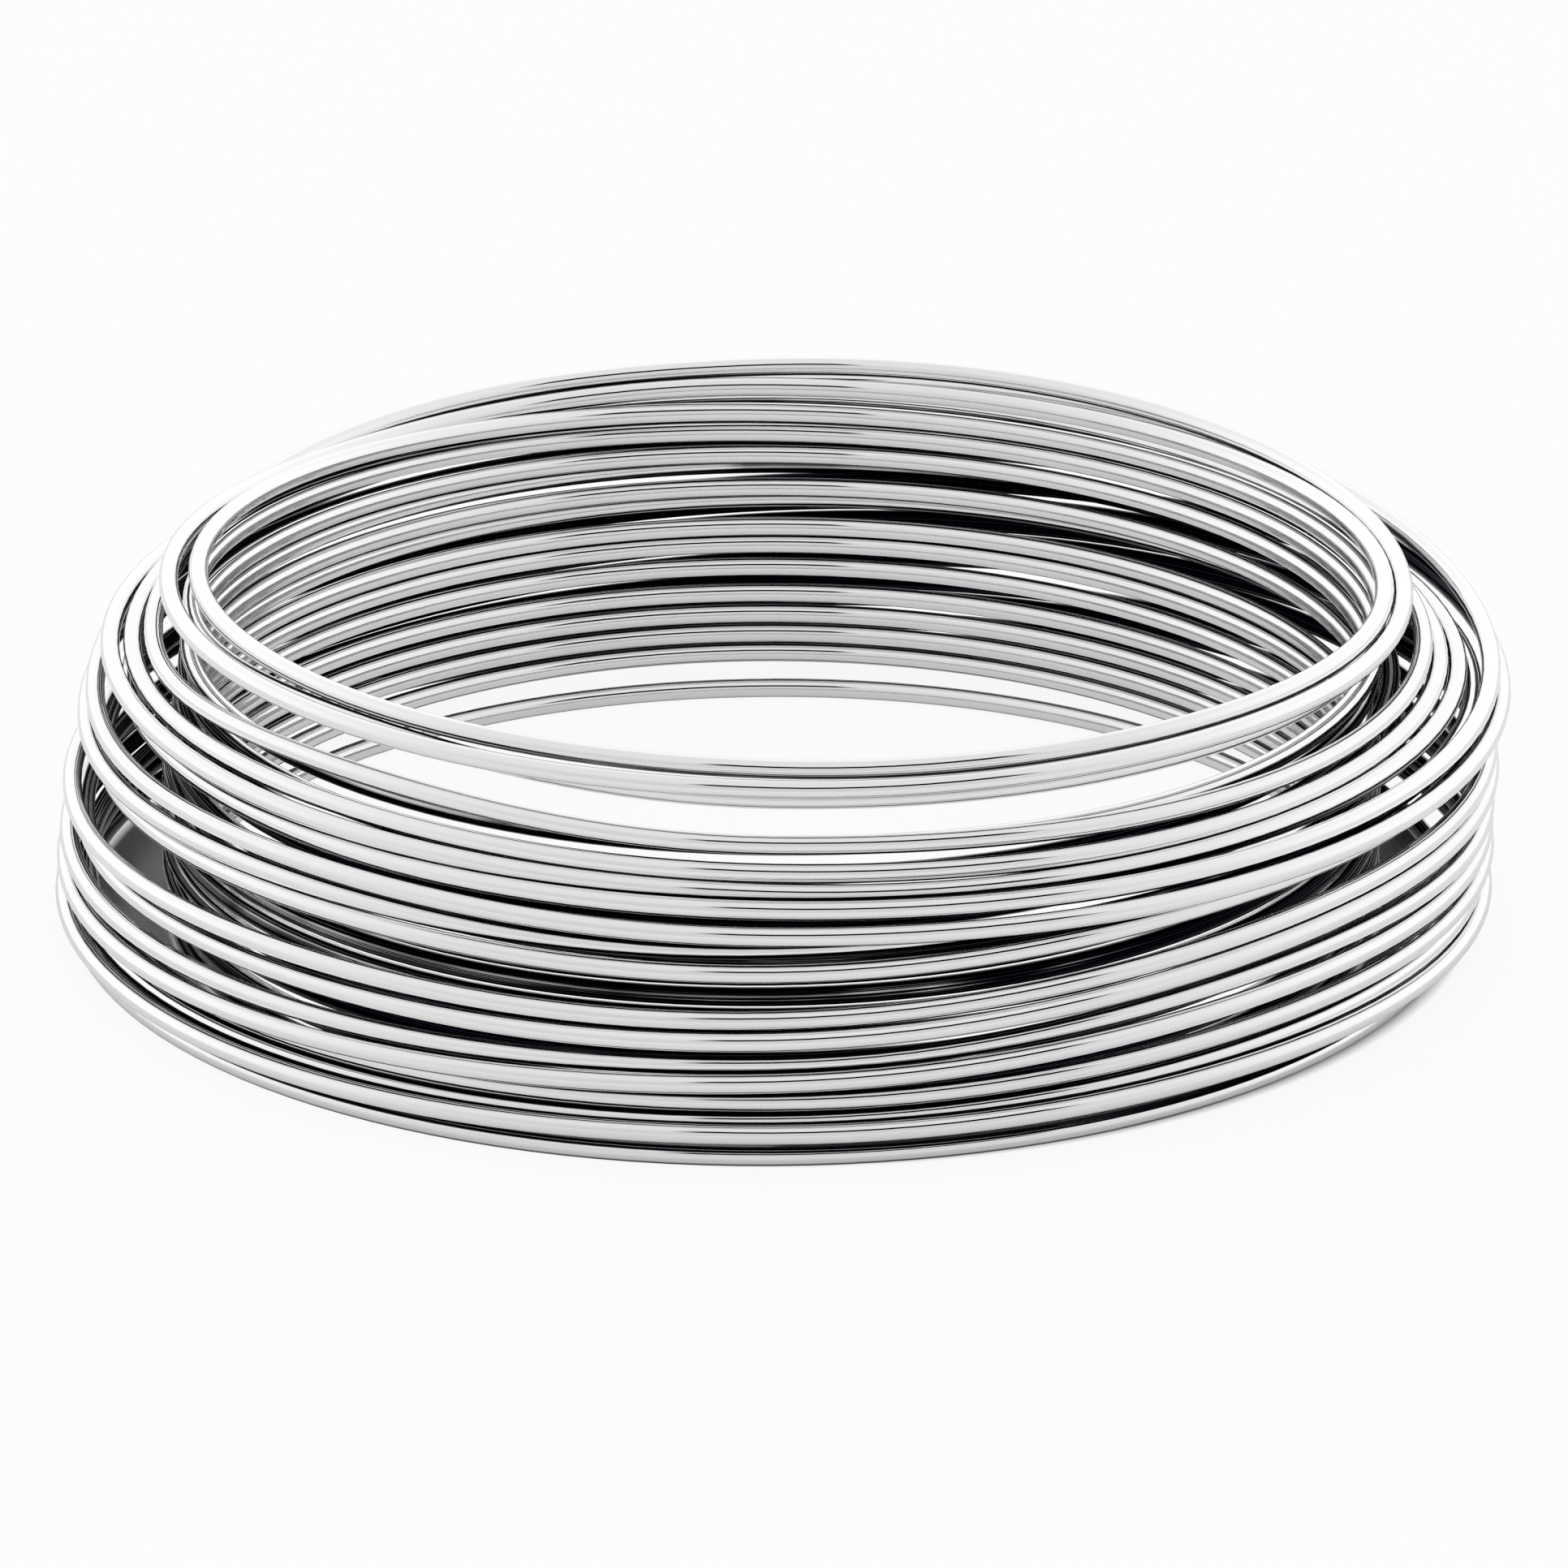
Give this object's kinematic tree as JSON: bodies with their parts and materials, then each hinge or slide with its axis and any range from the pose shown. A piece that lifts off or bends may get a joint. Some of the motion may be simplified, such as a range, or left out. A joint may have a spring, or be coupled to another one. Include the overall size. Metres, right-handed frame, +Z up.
{
  "type": "coil of wire rod",
  "caption": "Loose open coil of bright round steel wire rod lying flat, wider at its belly than at its top, with a clear round bore.",
  "frame": {"origin": "on the bore's axis, at the level that the lowest turns lie on", "axes": "+Z up along the bore, +X to the right and -Y towards the viewer in the picture's view"},
  "size_m": [0.6079, 0.608, 0.162],
  "materials": {
    "rod": "bright drawn, smooth, with fine drawing lines along the rod"
  },
  "bodies": {
    "root": {"rod_coil": "rod"}
  },
  "joints": []
}
